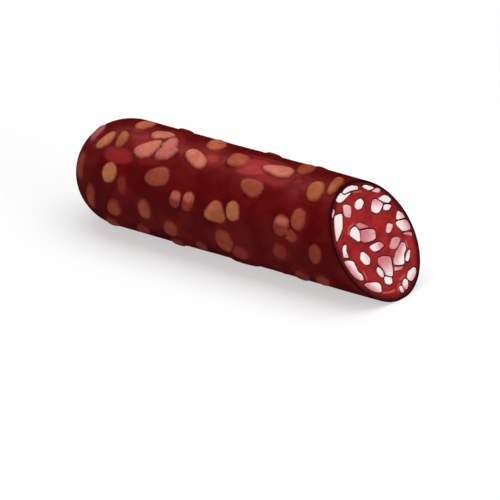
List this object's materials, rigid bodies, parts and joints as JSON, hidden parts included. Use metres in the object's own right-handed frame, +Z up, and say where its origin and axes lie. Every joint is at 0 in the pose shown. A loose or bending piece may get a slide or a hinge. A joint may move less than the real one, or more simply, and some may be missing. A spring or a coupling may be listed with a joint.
{
  "type": "cured sausage",
  "caption": "Length of dry-cured sausage lying in its casing, with one round closed end and one slanting cut face that shows lean meat and dice of back fat.",
  "frame": {"origin": "on the surface that the sausage rests on, under the middle of its length", "axes": "+X along the sausage, from its round blind end towards its cut; +Z up; the cut's lower and far side reach furthest forward"},
  "size_m": [0.211, 0.062, 0.0616],
  "materials": {
    "casing": "satin",
    "lean": "satin",
    "fat": "satin"
  },
  "bodies": {
    "root": {"casing": "casing", "lean_meat": "lean", "fat_in_cut_01": "fat", "fat_in_cut_02": "fat", "fat_in_cut_03": "fat", "fat_in_cut_04": "fat", "fat_in_cut_05": "fat", "fat_in_cut_06": "fat", "fat_in_cut_07": "fat", "fat_in_cut_08": "fat", "fat_in_cut_09": "fat", "fat_in_cut_10": "fat", "fat_in_cut_11": "fat", "fat_in_cut_12": "fat", "fat_in_cut_13": "fat", "fat_in_cut_14": "fat", "fat_in_cut_15": "fat", "fat_in_cut_16": "fat", "fat_in_cut_17": "fat", "fat_in_cut_18": "fat", "fat_in_cut_19": "fat", "fat_in_cut_20": "fat", "fat_in_cut_21": "fat", "fat_in_cut_22": "fat", "fat_in_cut_23": "fat", "fat_in_cut_24": "fat", "fat_in_cut_25": "fat", "fat_in_cut_26": "fat", "fat_in_cut_27": "fat", "fat_in_cut_28": "fat", "fat_in_cut_29": "fat", "fat_in_cut_30": "fat", "fat_in_cut_31": "fat", "fat_in_cut_32": "fat", "fat_in_cut_33": "fat", "fat_under_casing_01": "fat", "fat_under_casing_02": "fat", "fat_under_casing_03": "fat", "fat_under_casing_04": "fat", "fat_under_casing_05": "fat", "fat_under_casing_06": "fat", "fat_under_casing_07": "fat", "fat_under_casing_08": "fat", "fat_under_casing_09": "fat", "fat_under_casing_10": "fat", "fat_under_casing_11": "fat", "fat_under_casing_12": "fat", "fat_under_casing_13": "fat", "fat_under_casing_14": "fat", "fat_under_casing_15": "fat", "fat_under_casing_16": "fat", "fat_under_casing_17": "fat", "fat_under_casing_18": "fat", "fat_under_casing_19": "fat", "fat_under_casing_20": "fat", "fat_under_casing_21": "fat", "fat_under_casing_22": "fat", "fat_under_casing_23": "fat", "fat_under_casing_24": "fat", "fat_under_casing_25": "fat"}
  },
  "joints": []
}
